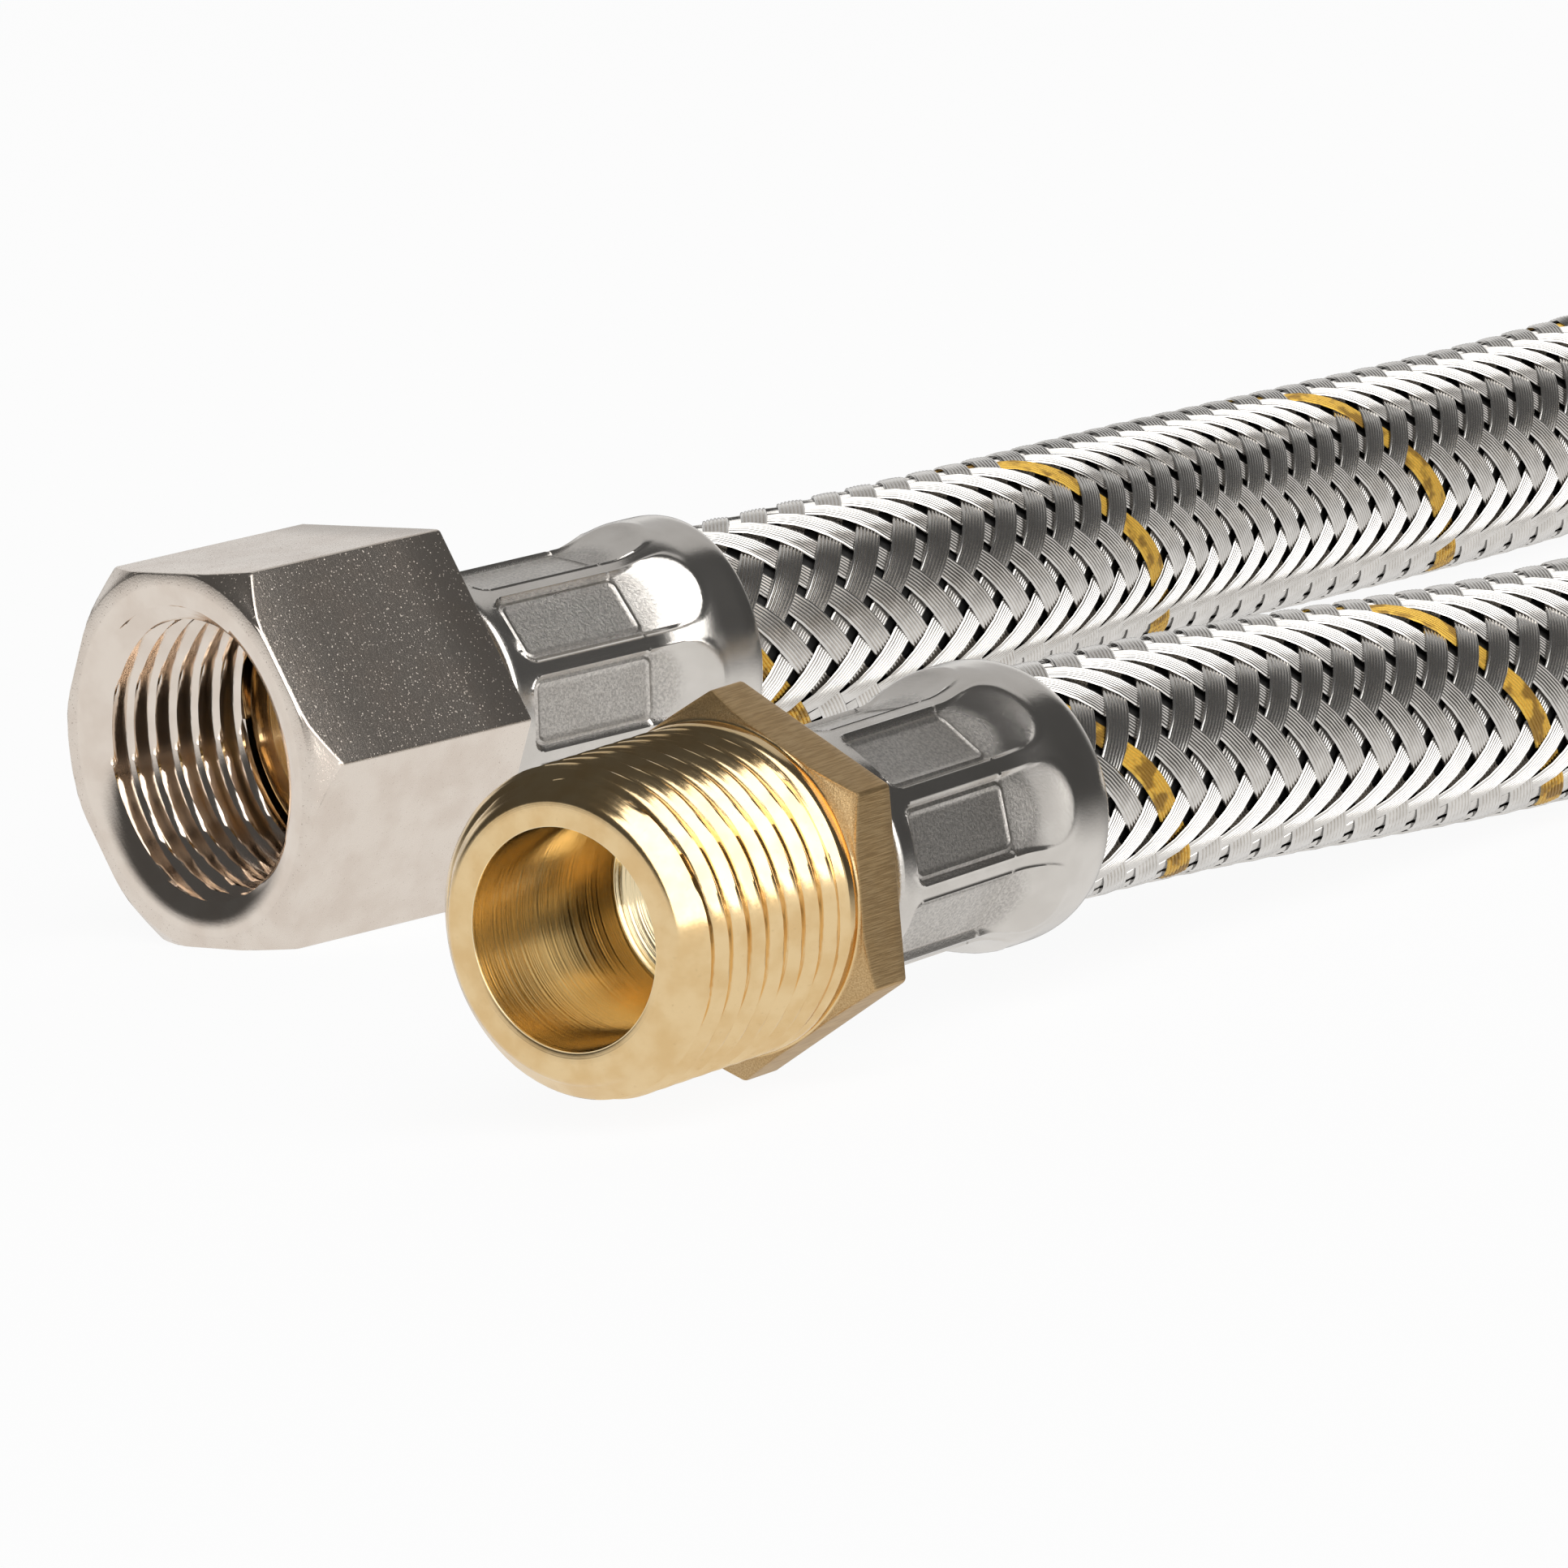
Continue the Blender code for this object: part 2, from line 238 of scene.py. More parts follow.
def hexagon_angles(turn):
    """Angles round a hexagon, close together at its corners. At turn 0 a flat faces angle 0."""
    half = [0, 5, 10, 14, 18, 21, 24, 26, 27.5, 28.4, 28.8, 29.1, 29.3, 29.5, 29.7, 29.9]
    sector = [-angle for angle in half[:0:-1]] + half
    return turn + np.radians([60 * k + angle for k in range(6) for angle in sector])


def hexagon_radius(angles, turn, flats, rounding=0.35):
    apothem = flats / 2
    off = (angles - turn + math.pi / 6) % (math.pi / 3) - math.pi / 6
    flat = apothem / np.cos(off)
    centre = (apothem - rounding) / math.cos(math.pi / 6)
    to_corner = math.pi / 6 - np.abs(off)
    under = np.maximum(rounding ** 2 - (centre * np.sin(to_corner)) ** 2, 0)
    touch = math.atan((apothem - rounding) * math.tan(math.pi / 6) / apothem)
    return np.where(np.abs(off) > touch, centre * np.cos(to_corner) + np.sqrt(under), flat)


def chamfered(front, back, ring_radius, angle, radii, rounding=0.12):
    """Rows of a hexagonal bar with a turned chamfer at its front: stations and radii."""
    start = np.minimum(radii, ring_radius)
    reach = (radii - start) / math.tan(angle)
    rows = [(front + 0 * radii, start - rounding),
            (front + 0.3 * rounding + 0 * radii, start - 0.3 * rounding)]
    for share in (0.15, 0.4, 0.65, 0.85):
        rows.append((front + np.maximum(reach * share, rounding), start + (radii - start) * share))
    edge = front + np.maximum(reach, 1.6 * rounding)
    rows.append((edge - 0.5 * rounding, radii - 0.35 * rounding))
    rows.append((edge + 0.5 * rounding, radii - 0.08 * rounding))
    rows.append((edge + 1.2 * rounding, radii))
    for share in (0.25, 0.5, 0.75):
        rows.append((edge + (back - edge) * share, radii))
    rows += [(back - 0.25 + 0 * radii, radii), (back - 0.07 + 0 * radii, radii - 0.07),
             (back + 0 * radii, radii - 0.25)]
    return rows


def helix_phase(stations, angles):
    return (stations / THREAD_PITCH - angles / math.tau) % 1


# Materials

class Value:
    """A shader value that takes part in plain arithmetic."""

    def __init__(self, net, socket):
        self.net = net
        self.socket = socket

    def math(self, operation, *others):
        values = {i: value for i, value in enumerate((self,) + others)}
        return self.net.node("ShaderNodeMath", values, operation=operation)

    def __add__(self, other):
        return self.math("ADD", other)

    def __sub__(self, other):
        return self.math("SUBTRACT", other)

    def __mul__(self, other):
        return self.math("MULTIPLY", other)

    def __pow__(self, other):
        return self.math("POWER", other)

    def __rsub__(self, other):
        return self * -1 + other

    __radd__ = __add__
    __rmul__ = __mul__

    def above(self, low, high):
        """0 below low, 1 above high, smooth between."""
        return self.net.node("ShaderNodeMapRange", {0: self, 1: low, 2: high},
                             interpolation_type="SMOOTHSTEP")


class Net:
    """Nodes of one material or world."""

    def __init__(self, holder):
        holder.use_nodes = True
        self.tree = holder.node_tree
        self.nodes = self.tree.nodes

    def feed(self, socket, value):
        if isinstance(value, Value):
            self.tree.links.new(value.socket, socket)
        else:
            socket.default_value = value

    def node(self, kind, values=None, out=0, **settings):
        made = self.nodes.new(kind)
        for name, value in settings.items():
            setattr(made, name, value)
        for key, value in (values or {}).items():
            self.feed(made.inputs[key], value)
        return Value(self, made.outputs[out])

    def mix(self, share, first, second):
        """Colour between two colours."""
        first, second = [(*c, 1) if isinstance(c, tuple) else c for c in (first, second)]
        return self.node("ShaderNodeMix", {0: share, 6: first, 7: second}, out=2, data_type="RGBA")

    def spots(self, stretch=(1, 1, 1), size=1.0, detail=3.0, roughness=0.5, coords=None):
        """Noise of the given size in millimetres, stretched along the piece's own axes."""
        if coords is None:
            coords = self.node("ShaderNodeTexCoord", out="Object")
        factors = [1000 / size / s for s in stretch]
        coords = self.node("ShaderNodeVectorMath", {0: coords, 1: factors}, operation="MULTIPLY")
        values = {"Vector": coords, "Scale": 1.0, "Detail": detail, "Roughness": roughness}
        return self.node("ShaderNodeTexNoise", values)

    def axis_values(self):
        """Station along the piece and distance from its axis, in millimetres."""
        coords = self.node("ShaderNodeTexCoord", out="Object")
        split = self.node("ShaderNodeSeparateXYZ", {0: coords})
        x, y, z = [Value(self, split.socket.node.outputs[i]) for i in range(3)]
        return z * 1000, (x * x + y * y) ** 0.5 * 1000

    def pits(self, size):
        """Small round hollows, one in each cell of the given size in millimetres: 1 inside."""
        coords = self.node("ShaderNodeTexCoord", out="Object")
        values = {"Vector": coords, "Scale": 1000 / size}
        return 1 - self.node("ShaderNodeTexVoronoi", values).above(0.05, 0.2)

    def bump(self, height, strength, distance):
        """Relief from a height of 0 to 1; distance is in millimetres."""
        values = {"Strength": strength, "Distance": distance * MM, "Height": height}
        return self.node("ShaderNodeBump", values, out="Normal")


def new_net(name):
    made = bpy.data.materials.new(name)
    net = Net(made)
    net.material = made
    net.shader = net.nodes["Principled BSDF"]
    return net


def dress(net, colour, roughness, normal, metallic=1.0):
    for key, value in (("Base Color", colour), ("Roughness", roughness), ("Metallic", metallic),
                       ("Normal", normal)):
        net.feed(net.shader.inputs[key], (*value, 1) if isinstance(value, tuple) else value)
    return net.material


def nickel_plate():
    """Plated faces with fine grain and tiny pits, smoother inside the mouth."""
    net = new_net("nickel_plate")
    brushed = net.spots(stretch=(12, 12, 0.6), size=0.25, detail=3)
    grains = net.spots(size=0.16, detail=3, roughness=0.6)
    patches = net.spots(size=3, detail=3)
    radius = net.axis_values()[1]
    inside = 1 - radius.above(NUT_FACE_INNER, NUT_FACE_INNER + 0.2)
    pits = (net.pits(0.42) + net.pits(0.26)) * (1 - inside)
    height = brushed * 0.25 + grains * (0.5 - inside * 0.4) - pits * 0.3
    colour = net.mix(patches.above(0.35, 0.7), (0.86, 0.77, 0.68), (0.79, 0.69, 0.60))
    rough = 0.22 + patches * 0.06 - inside * 0.14 + pits * 0.3
    return dress(net, colour, rough, net.bump(height, 0.8, 0.03))


def turned_brass():
    """Turned rings, with lines along the bar on the hexagon, and a paler bore."""
    net = new_net("turned_brass")
    station, radius = net.axis_values()
    turned = net.node("ShaderNodeCombineXYZ", {0: station * 0.001, 1: radius * 0.001})
    rings = net.spots(size=0.22, detail=3, coords=turned)
    drawn = net.spots(stretch=(1, 1, 18), size=0.1, detail=3)
    grains = net.spots(size=0.3, detail=3, roughness=0.5)
    patches = net.spots(size=2.5, detail=3)
    on_bar = radius.above(MALE_THREAD_R + 0.02, MALE_THREAD_R + 0.1)
    on_bar = on_bar * station.above(HEX_FRONT, HEX_FRONT + 0.1)
    bore = 1 - radius.above(MALE_BORE + 0.05, MALE_BORE + 0.15)
    colour = net.mix(patches.above(0.35, 0.7), (0.90, 0.67, 0.37), (0.82, 0.57, 0.28))
    colour = net.mix(bore, colour, (0.92, 0.76, 0.48))
    colour = net.mix(on_bar * (0.55 + drawn.above(0.35, 0.65) * 0.4), colour, (0.46, 0.30, 0.14))
    colour = net.mix(grains.above(0.62, 0.8) * 0.25, colour, (0.55, 0.36, 0.16))
    height = (rings * (0.6 + bore * 2.2) + grains * 0.15) * (1 - on_bar)
    height = height + on_bar * (drawn + grains * 0.4)
    rough = 0.11 + grains * 0.1 + on_bar * 0.3
    return dress(net, colour, rough, net.bump(height, 0.6, 0.03))


def dull_stainless():
    """Smooth drawn sleeve, with grainy floors where the dies pressed it."""
    net = new_net("dull_stainless")
    grains = net.spots(size=0.2, detail=5, roughness=0.7)
    patches = net.spots(size=4, detail=3)
    floor = 1 - net.axis_values()[1].above(PANEL_FLOOR + 0.2, PANEL_FLOOR + 0.8)
    colour = net.mix(patches.above(0.3, 0.7), (0.78, 0.74, 0.69), (0.70, 0.66, 0.61))
    colour = net.mix(floor * grains.above(0.35, 0.65) * 0.6, colour, (0.30, 0.28, 0.26))
    height = grains * (0.22 + floor * 1.3)
    rough = 0.14 + patches * 0.1 + floor * 0.12
    return dress(net, colour, rough, net.bump(height, 0.7, 0.04))


def bright_wire(name, pale, deep):
    """Smooth wire between two tones, in patches along each strand."""
    net = new_net(name)
    patches = net.spots(size=1.4, detail=3, roughness=0.5)
    grains = net.spots(size=0.12, detail=2)
    colour = net.mix(patches.above(0.35, 0.65), pale, deep)
    return dress(net, colour, 0.18 + patches * 0.08, net.bump(grains, 0.2, 0.005))


def yellow_yarn():
    """Coloured marking strand, yellow with brown patches."""
    net = new_net("yellow_yarn")
    patches = net.spots(size=1.5, detail=2)
    fibres = net.spots(size=0.15, detail=3, roughness=0.6)
    colour = net.mix(patches.above(0.48, 0.6), (0.80, 0.50, 0.08), (0.36, 0.20, 0.035))
    colour = net.mix(fibres.above(0.5, 0.75) * 0.5, colour, (0.45, 0.27, 0.05))
    return dress(net, colour, 0.35 + fibres * 0.3, net.bump(fibres, 0.8, 0.04), metallic=0.5)


def black_rubber():
    """Dull rubber of the tube, seen between the strands."""
    net = new_net("black_rubber")
    grains = net.spots(size=0.25, detail=4, roughness=0.6)
    colour = net.mix(grains, (0.012, 0.012, 0.012), (0.03, 0.028, 0.026))
    return dress(net, colour, 0.55 + grains * 0.25, net.bump(grains, 0.5, 0.05), metallic=0.0)


NICKEL = nickel_plate()
BRASS = turned_brass()
STEEL = dull_stainless()
WIRE = bright_wire("bright_wire", (0.82, 0.79, 0.75), (0.72, 0.69, 0.65))
# Near-black copy of the wire: painted shade on the strands' narrow sides and undersides, standing
# in for the dark gaps between strands
WIRE_PAINTED_SHADE = bright_wire("wire_painted_shade", (0.05, 0.045, 0.04), (0.03, 0.028, 0.025))
TRACER = yellow_yarn()
RUBBER = black_rubber()


# Hose

def smooth_curve(points, steps):
    """A curve of even bend through all the points, read in even steps between each pair."""
    knots = np.array(points, dtype=float)
    spans = np.linalg.norm(np.diff(knots, axis=0), axis=1)
    slopes = np.diff(knots, axis=0) / spans[:, None]
    system = np.eye(len(knots))
    right = np.zeros_like(knots)
    right[0] = slopes[0]
    right[-1] = slopes[-1]
    for i in range(1, len(knots) - 1):
        system[i, i - 1:i + 2] = spans[i], 2 * (spans[i - 1] + spans[i]), spans[i - 1]
        right[i] = 3 * (spans[i] * slopes[i - 1] + spans[i - 1] * slopes[i])
    tangents = np.linalg.solve(system, right)
    curve = [knots[:1]]
    t = (np.arange(1, steps + 1) / steps)[:, None]
    for i, span in enumerate(spans):
        leaving = tangents[i] * span * (t ** 3 - 2 * t ** 2 + t)
        arriving = tangents[i + 1] * span * (t ** 3 - t ** 2)
        run = knots[i] * (2 * t ** 3 - 3 * t ** 2 + 1) + leaving
        run += knots[i + 1] * (3 * t ** 2 - 2 * t ** 3) + arriving
        curve.append(run)
    return np.concatenate(curve)


def on_axis(x, y, yaw, height, station):
    return (x + station * math.cos(yaw), y + station * math.sin(yaw), height)


def route_points():
    """Points that the hose passes through, from inside one ferrule to inside the other."""
    end = 1.8
    low = HOSE_R
    points = [on_axis(0, 0, 0, FEMALE_UP, station) for station in (FEMALE_START + end, FEMALE_RIM)]
    points += [(x, y, low + share * (FEMALE_UP - low)) for x, y, share in FEMALE_LEG]
    points += [(x, y, low) for x, y in LOOP]
    points += [(x, y, low + share * (MALE_UP - low)) for x, y, share in MALE_LEG]
    points += [on_axis(*MALE_PLACE, MALE_YAW, MALE_UP, s) for s in (MALE_RIM, MALE_START + end)]
    return np.array(points) - (*MIDDLE, 0)


FEMALE_UP = NUT_FLATS / 2
MALE_UP = corner_radius(HEX_FLATS) * math.cos(MALE_ROLL)
route = smooth_curve(route_points(), ROUTE_STEPS)
walked = np.concatenate([[0], np.cumsum(np.linalg.norm(np.diff(route, axis=0), axis=1))])
walked -= walked[ROUTE_STEPS]
free_length = walked[-1 - ROUTE_STEPS]
first_spot, last_spot = walked[0], walked[-1]


def on_route(distances):
    """Points of the hose's middle line at distances from the female rim."""
    return np.stack([np.interp(distances, walked, route[:, k]) for k in range(3)], axis=-1)


def hose_points(distances, angles, radii):
    """Points at distances from the female rim, angles up from the right side and radii. The
    hose is squeezed by a millimetre where the ferrules are crimped."""
    reach = 0.3
    ahead = on_route(np.minimum(distances + reach, last_spot))
    ahead = ahead - on_route(np.maximum(distances - reach, first_spot))
    ahead /= np.linalg.norm(ahead, axis=-1, keepdims=True)
    side = np.stack([ahead[..., 1], -ahead[..., 0], 0 * ahead[..., 0]], axis=-1)
    side /= np.linalg.norm(side, axis=-1, keepdims=True)
    up = np.cross(side, ahead)
    squeezed = smoothstep((-distances - SQUEEZE_START) / SQUEEZE_RUN)
    squeezed = squeezed + smoothstep((distances - free_length - SQUEEZE_START) / SQUEEZE_RUN)
    radii = (radii - squeezed)[..., None]
    outward = np.cos(angles)[..., None] * side + np.sin(angles)[..., None] * up
    return on_route(distances) + radii * outward


def strand_section(per_wire):
    """Closed outline across one flat strand of parallel wires: offsets and heights."""
    steps = STRAND_WIRES * per_wire
    across = np.linspace(-1, 1, steps + 1)
    crown = np.sqrt(np.clip(1 - (2 * ((np.arange(steps + 1) / per_wire) % 1) - 1) ** 2, 0, 1))
    heights = STRAND_CAMBER * (1 - across ** 2) + WIRE_CREST * crown
    offsets = across * STRAND_WIDTH / 2
    offsets = np.concatenate([offsets, [offsets[-1] - 0.04, offsets[0] + 0.04]])
    heights = np.concatenate([heights, [-STRAND_THICK, -STRAND_THICK]])
    return offsets, heights


def strand(turn, sense, start, end, step, per_wire):
    """One strand wound along the hose. The sense is 1 or -1, the turn its angle at the rim."""
    offsets, heights = strand_section(per_wire)
    count = max(2, round((end - start) / step)) + 1
    along = np.linspace(start, end, count)[:, None]
    middle = math.radians(turn) + sense * math.tau * along / LEAD
    slant = math.atan(math.tau * BRAID_MEAN / LEAD)
    over_under = np.cos(STRANDS / 2 * (middle - math.radians(WEAVE_TURN)))
    weave = np.tanh(WEAVE_SHARPNESS * over_under) / math.tanh(WEAVE_SHARPNESS)
    radii = BRAID_MEAN - sense * BRAID_LIFT * weave + heights
    angles = middle - sense * offsets * math.cos(slant) / BRAID_MEAN
    distances = np.clip(along + offsets * math.sin(slant), first_spot, last_spot)
    return hose_points(distances, angles, radii + 0 * angles)


def strands(name, sense, turns, start, end, step, per_wire):
    """Several strands as one mesh; narrow sides and undersides take the second finish, painted
    shade.
    """
    grids = [strand(turn, sense, start, end, step, per_wire) for turn in turns]
    mesh = skin(name, grids, capped=True)
    across = grids[0].shape[1]
    faces = (len(grids[0]) - 1) * across
    # Faces on each strand's narrow sides and underside, which carry the near-black painted shade
    under = np.tile(np.append(np.arange(faces) % across >= across - 3, [True, True]), len(grids))
    mesh.polygons.foreach_set("material_index", under.astype(np.int32))
    return mesh


def tube(stations, radius, bore, sides):
    """Hollow tube along the hose as one closed grid."""
    angles = np.arange(sides) / sides * math.tau
    out_and_back = np.concatenate([stations, stations[::-1]])[:, None]
    radii = np.concatenate([np.full(len(stations), radius), np.full(len(stations), bore)])[:, None]
    distances, radii, angles = np.broadcast_arrays(out_and_back, radii, angles)
    return hose_points(distances, angles, radii)


apart = 360 // STRANDS
rising_turns = [FIRST_RISING + apart * i for i in range(1, STRANDS)]
falling_turns = [FIRST_FALLING + apart * i for i in range(STRANDS)]
first_braid = first_spot + 1.0
last_braid = last_spot - 1.0
male_seen = free_length - MALE_SEEN
stretches = [("female", first_braid, FEMALE_SEEN, FINE_STEP, 4),
             ("loop", FEMALE_SEEN, male_seen, COARSE_STEP, 2),
             ("male", male_seen, last_braid, FINE_STEP, 4)]
for stretch, start, end, step, per_wire in stretches:
    for family, sense, turns in (("rising", -1, rising_turns), ("falling", 1, falling_turns)):
        name = f"braid_{stretch}_{family}"
        mesh = strands(name, sense, turns, start, end, step, per_wire)
        # The second finish is the painted shade on the strands' sides and undersides
        piece(name, mesh, [WIRE, WIRE_PAINTED_SHADE], "hose")
tracer_mesh = strands("braid_tracer", -1, [FIRST_RISING], first_braid, last_braid, FINE_STEP, 4)
piece("braid_tracer", tracer_mesh, [TRACER, WIRE_PAINTED_SHADE], "hose")

tube_stations = np.linspace(first_spot, last_spot, 220)
tube_mesh = skin("rubber_tube", [tube(tube_stations, TUBE_R, TUBE_BORE, 24)])
inner = piece("rubber_tube", tube_mesh, [RUBBER], "hose")
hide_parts("inner_tube")
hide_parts("wire_braid")
rim_spot = hose_points(np.array([0.0]), np.array([0.0]), np.array([0.0]))[0] * MM


# Fittings

female_place = end_place(0, 0, FEMALE_UP, 0)
male_place = end_place(*MALE_PLACE, MALE_UP, MALE_YAW)


def nut_skin():
    """Hexagon nut, threaded from its mouth to a relief in front of the lip that holds the tail."""
    turn = -math.pi / 2
    angles = hexagon_angles(turn)
    radii = hexagon_radius(angles, turn, NUT_FLATS)
    same = 0 * angles
    rows = chamfered(0, NUT_LENGTH, NUT_RING, NUT_CHAMFER_ANGLE, radii)
    lip = NUT_LENGTH - NUT_LIP
    edge = 0.15
    sharpness = 0.96
    for station, radius in ((NUT_LENGTH, 9.5), (NUT_LENGTH, NUT_LIP_BORE + edge),
                            (NUT_LENGTH - edge, NUT_LIP_BORE), (lip + edge, NUT_LIP_BORE),
                            (lip, NUT_LIP_BORE + edge), (lip, NUT_RELIEF - 2 * edge),
                            (lip - 2 * edge, NUT_RELIEF), (NUT_THREAD_END + 0.2, NUT_RELIEF)):
        rows.append((station + same, radius + same))
    for station in np.arange(NUT_THREAD_END, 0.05, -THREAD_PITCH / 10):
        wave = np.cos(math.tau * helix_phase(station, angles))
        crest = np.arcsin(sharpness * wave) / math.asin(sharpness)
        thread = NUT_THREAD_MEAN + NUT_THREAD_SWING * crest
        mouth = NUT_MOUTH - NUT_MOUTH_SLOPE * station
        rows.append((station + same, np.maximum(thread, mouth)))
    rows.append((0 * same, 11.15 + same))
    rows.append((0 * same, NUT_FACE_INNER + same))
    stations = np.array([row[0] for row in rows])
    outline = np.array([row[1] for row in rows])
    return skin("nut_skin", [ring(stations, outline, angles)])


def tail_corners(neck_start, ferrule_front):
    """Neck, groove and barbs behind a fitting, front to back."""
    shoulder = ferrule_front - 0.3
    back = ferrule_front + 1.5
    corners = [(neck_start, NECK_R, 0.2), (shoulder, NECK_R, 0.2), (shoulder, GROOVE_R, 0.1),
               (back, GROOVE_R, 0), (back, TAIL_R, 0)]
    for barb in range(BARBS):
        start = back + (barb + 0.2) * BARB_PITCH
        corners += [(start, TAIL_R, 0), (start, BARB_R, 0.05), (start + 0.8, BARB_R, 0.05)]
    end = back + (BARBS + 0.2) * BARB_PITCH
    corners += [(end, TAIL_R, 0), (end, TAIL_BORE, 0)]
    return corners


def female_tail_skin():
    """Turned tail with the flange that the nut's lip pulls on, and a wider seat in its front."""
    flange_back = NUT_LENGTH - NUT_LIP - 0.3
    front = flange_back - FLANGE_THICK
    seat_back = front + 3.0
    corners = [(front, SEAT_BORE, 0.15), (front, FLANGE_R, 0.25), (flange_back, FLANGE_R, 0.2)]
    corners += tail_corners(flange_back, FEMALE_START)
    corners += [(seat_back, TAIL_BORE, 0.1), (seat_back, SEAT_BORE, 0.1)]
    rows = eased(corners)
    angles = np.arange(96) / 96 * math.tau
    return skin("tail_skin", [ring(rows[:, :1], rows[:, 1:], angles)])


def male_skin():
    """Threaded end, hexagon and barbed tail, turned from one bar. Each turn of the thread has
    broad flanks and a narrow root, and the thread fades out before the hexagon."""
    turn = -math.pi / 2 + math.pi / 6 + MALE_ROLL
    angles = hexagon_angles(turn)
    radii = hexagon_radius(angles, turn, HEX_FLATS)
    same = 0 * angles
    rows = []
    for station, radius in ((0.25, MALE_BORE), (0.07, 6.9), (0, 7.1), (0, 8.4), (0.06, 8.6),
                            (0.2, 8.85)):
        rows.append((station + same, radius + same))
    for station in np.arange(0.5, 15.45, THREAD_PITCH / 13):
        off = np.abs(helix_phase(station, angles) - 0.5) * 2
        groove = FLANK_DEPTH * (1 - off ** 1.3) + ROOT_DEPTH * smoothstep((0.36 - off) / 0.32)
        fade = 1 - smoothstep((station - 13.6) / 1.6)
        cone = 8.7 + (station - 0.15) * 0.96
        rows.append((station + same, np.minimum(MALE_THREAD_R - groove * fade, cone)))
    rows.append((HEX_FRONT + same, 10.0 + same))
    rows += chamfered(HEX_FRONT, HEX_BACK, HEX_FLATS / 2, HEX_CHAMFER_ANGLE, radii)
    bore = [(16.57, TAIL_BORE, 0.1), (14.4, 6.4, 0.1), (14.0, MALE_BORE, 0.1)]
    tail = eased(tail_corners(HEX_BACK, MALE_START) + bore)
    rows += [(station + same, radius + same) for station, radius in tail]
    stations = np.array([row[0] for row in rows])
    outline = np.array([row[1] for row in rows])
    return skin("male_skin", [ring(stations, outline, angles)])


def ferrule_skin(name, place, panel_turn):
    """Crimped ferrule with pressed panels and a bell over the hose. Each panel has a bead round
    its floor, steep sides, and a scoop that rises from its rear end into the bell."""
    near_edges = np.concatenate([[0, 0.4, 0.8, 1.2, 1.5], np.arange(1.65, 2.75, 0.09), [2.86, 3.0]])
    half = near_edges / FERRULE_R
    step = math.tau / PANELS
    sector = np.concatenate([-half[:0:-1], half, [step / 2]])
    angles = np.concatenate([panel_turn + k * step + sector for k in range(PANELS)])
    stations = np.concatenate([[0, 0.06, 0.2, 0.4, 0.7, 1.0, 1.3], np.arange(1.5, 2.8, 0.09),
                               np.linspace(3, 11.4, 16), np.arange(11.5, 12.6, 0.09),
                               np.linspace(12.8, 20.4, 31), [20.55, 20.65, FERRULE_LENGTH]])
    fall = np.clip((stations - 19.3) / 1.4, 0, 1)
    front = np.clip(stations / RIM_ROUND, 0, 1)
    base = FERRULE_R + smoothstep((stations - BELL_START) / BELL_RUN)
    base = base - RIM_ROUND * (1 - np.sqrt(1 - fall ** 2))
    base -= RIM_ROUND * (1 - np.sqrt(front * (2 - front)))
    off = (angles - panel_turn + step / 2) % step - step / 2
    past_side = (np.abs(off) * FERRULE_R - PANEL_SIDE + PANEL_CORNER)[None, :]
    past_end = np.maximum(PANEL_FRONT - stations, stations - PANEL_BACK)[:, None] + PANEL_CORNER
    edge = np.hypot(np.maximum(past_side, 0), np.maximum(past_end, 0)) - PANEL_CORNER
    edge += np.minimum(np.maximum(past_side, past_end), 0)
    in_scoop = (stations > PANEL_BACK - 0.3)[:, None]
    beside = np.maximum(past_side - PANEL_CORNER, 0)
    wall = np.where(in_scoop, beside, np.maximum(edge, 0)) * PANEL_WALL_SLOPE
    behind = np.maximum(stations - PANEL_BACK, 0)[:, None]
    rear = 0.2 * behind + 0.036 * behind ** 2
    bead = 0.11 * np.exp(-((edge + 0.32) / 0.14) ** 2)
    die = (PANEL_FLOOR / np.cos(off))[None, :] + np.hypot(wall, rear) + bead
    gap = die - base[:, None]
    outer = base[:, None] + np.where(gap > 0, 0, gap) - 0.02 * np.exp(-np.abs(gap) / 0.04)
    outer += 0.08 * np.exp(-((gap - 0.13) / 0.1) ** 2)
    inner = [(FERRULE_LENGTH, 8.1), (20.3, FERRULE_R), (14.7, FERRULE_R),
             (BELL_START, FERRULE_BORE), (1.5, FERRULE_BORE), (1.5, FERRULE_MOUTH),
             (0, FERRULE_MOUTH)]
    rows = [ring(stations[:, None] + place, outer, angles)]
    rows.append(ring(np.array(inner)[:, :1] + place, np.array(inner)[:, 1:], angles))
    return skin(name, [np.concatenate(rows)])


nut = piece("nut_skin", nut_skin(), [NICKEL], "nut", female_place)
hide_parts("swivel_nut")
tail = piece("tail_skin", female_tail_skin(), [BRASS], "hose", female_place)
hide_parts("female_tail")
male = piece("male_skin", male_skin(), [BRASS], "hose", male_place)
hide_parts("male_fitting")
upper_mesh = ferrule_skin("upper_ferrule", FEMALE_START, UPPER_PANEL_TURN)
upper_ferrule = piece("upper_ferrule", upper_mesh, [STEEL], "hose", female_place)
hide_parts("ferrule_female")
lower_mesh = ferrule_skin("lower_ferrule", MALE_START, LOWER_PANEL_TURN)
lower_ferrule = piece("lower_ferrule", lower_mesh, [STEEL], "hose", male_place)
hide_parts("ferrule_male")


# Floor, light and camera

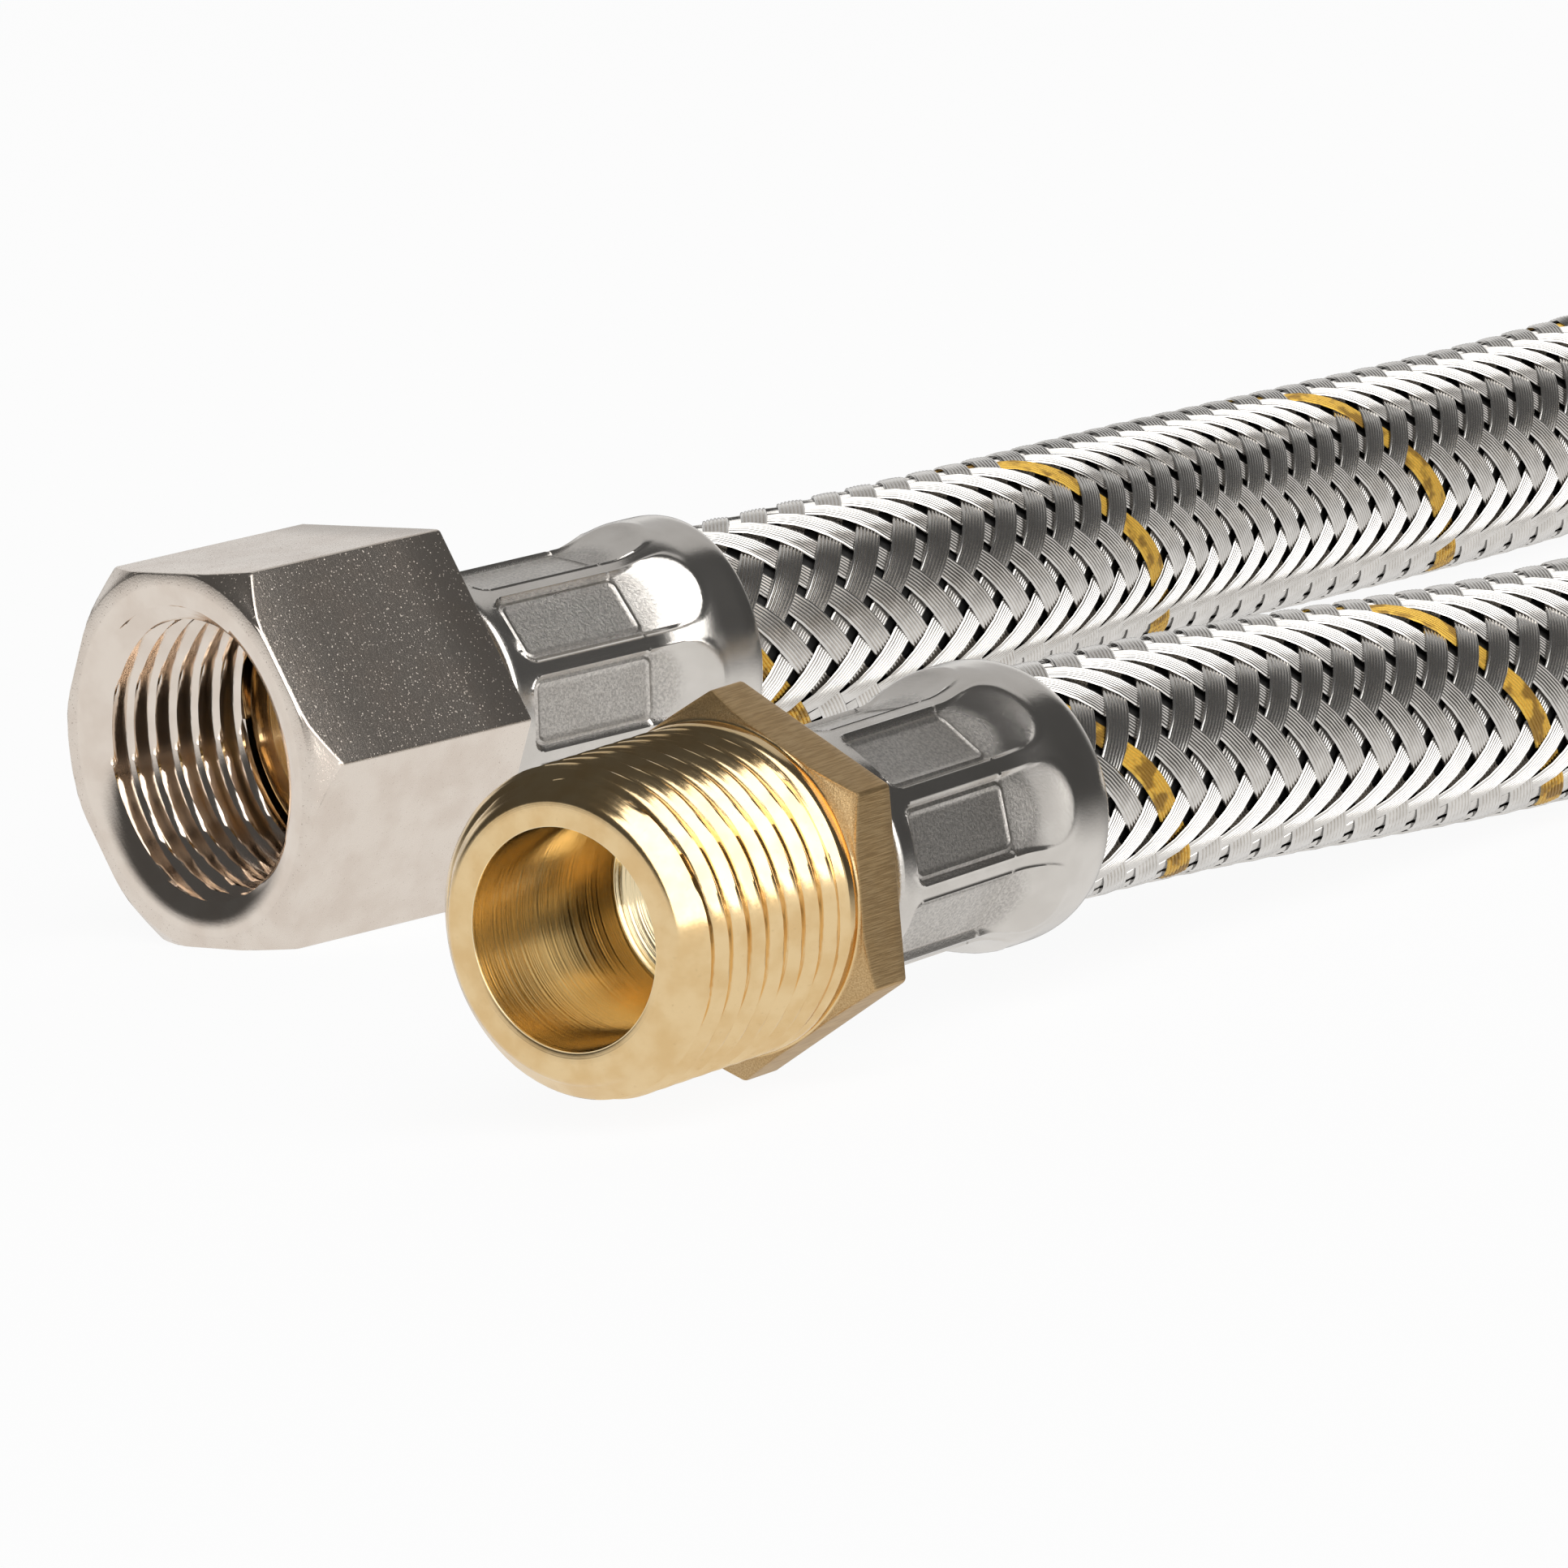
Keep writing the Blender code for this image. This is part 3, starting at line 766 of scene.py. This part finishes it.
def floor_finish():
    """White to the eye and in reflections, with part of its own shading so shadows stay."""
    net = new_net("white_floor")
    dress(net, (0.95, 0.95, 0.95), 0.9, net.bump(net.spots(size=2), 0.05, 0.05), metallic=0.0)
    path = net.node("ShaderNodeLightPath")
    sight = [Value(net, path.socket.node.outputs[key]) for key in
             ("Is Camera Ray", "Is Glossy Ray", "Is Transmission Ray")]
    share = sight[0].math("MAXIMUM", sight[1].math("MAXIMUM", sight[2])) * 0.93
    glow = net.node("ShaderNodeEmission", {"Color": (1, 1, 1, 1), "Strength": 1.0})
    own = Value(net, net.shader.outputs[0])
    both = net.node("ShaderNodeMixShader", {0: share, 1: own, 2: glow})
    net.feed(net.nodes["Material Output"].inputs["Surface"], both)
    return net.material


def add_floor():
    mesh = bpy.data.meshes.new("floor")
    mesh.from_pydata([(-8, -8, 0), (8, -8, 0), (8, 8, 0), (-8, 8, 0)], [], [(0, 1, 2, 3)])
    mesh.materials.append(floor_finish())
    floor = bpy.data.objects.new("floor", mesh)
    floor.visible_glossy = False
    bpy.context.scene.collection.objects.link(floor)


def add_world():
    """White to the eye. Metal sees a pale table and backdrop in a dim room with a dark side to
    the right."""
    room = 0.07
    table = 0.75
    world = bpy.data.worlds.new("studio")
    bpy.context.scene.world = world
    net = Net(world)
    coords = net.node("ShaderNodeTexCoord", out="Generated")
    split = net.node("ShaderNodeSeparateXYZ", {0: coords})
    x, y, height = [Value(net, split.socket.node.outputs[i]) for i in range(3)]
    right = x.above(0.42, 0.62)
    open_side = 1 - height.above(-0.05, 0.2)
    dark_side = 1 - height.above(-0.5, -0.05)
    below = (open_side + right * (dark_side - open_side)) * table
    behind = (x * math.sin(CAMERA_TURN) + y * math.cos(CAMERA_TURN)).above(0.55, 0.9)
    backdrop = behind * (height.above(0.0, 0.12) - height.above(0.2, 0.4)) * table
    level = room + below.math("MAXIMUM", backdrop)
    path = net.node("ShaderNodeLightPath")
    seen = Value(net, path.socket.node.outputs["Is Camera Ray"])
    strength = level.math("MAXIMUM", seen)
    glow = net.node("ShaderNodeBackground", {"Color": (1, 1, 1, 1), "Strength": strength})
    net.feed(net.nodes["World Output"].inputs["Surface"], glow)


def add_light(name, place, width, height, power):
    """Soft rectangular light aimed at the origin."""
    data = bpy.data.lights.new(name, "AREA")
    data.shape = "RECTANGLE"
    data.size = width
    data.size_y = height
    data.energy = power
    light = bpy.data.objects.new(name, data)
    light.location = place
    light.rotation_euler = (-Vector(place)).to_track_quat("-Z", "Y").to_euler()
    bpy.context.scene.collection.objects.link(light)


def add_camera():
    data = bpy.data.cameras.new("camera")
    data.sensor_width = 36
    data.lens = CAMERA_LENS
    data.clip_end = 20
    ahead = Vector((math.sin(CAMERA_TURN) * math.cos(CAMERA_DROP),
                    math.cos(CAMERA_TURN) * math.cos(CAMERA_DROP), -math.sin(CAMERA_DROP)))
    right = ahead.cross(Vector((0, 0, 1))).normalized()
    up = right.cross(ahead)
    across = math.cos(CAMERA_TILT) * right + math.sin(CAMERA_TILT) * up
    above = math.cos(CAMERA_TILT) * up - math.sin(CAMERA_TILT) * right
    turn = Matrix((across, above, -ahead)).transposed()
    camera = bpy.data.objects.new("camera", data)
    camera.matrix_world = Matrix.Translation(CAMERA_PLACE) @ turn.to_4x4()
    bpy.context.scene.collection.objects.link(camera)
    bpy.context.scene.camera = camera


add_floor()
add_world()
add_light("key", (-1.5, -3.8, 2.8), 6.8, 7.0, 390.0)
add_light("back", (2.9, 2.5, 3.2), 4.6, 4.6, 30.0)
add_camera()
bpy.context.scene.view_settings.view_transform = "Standard"
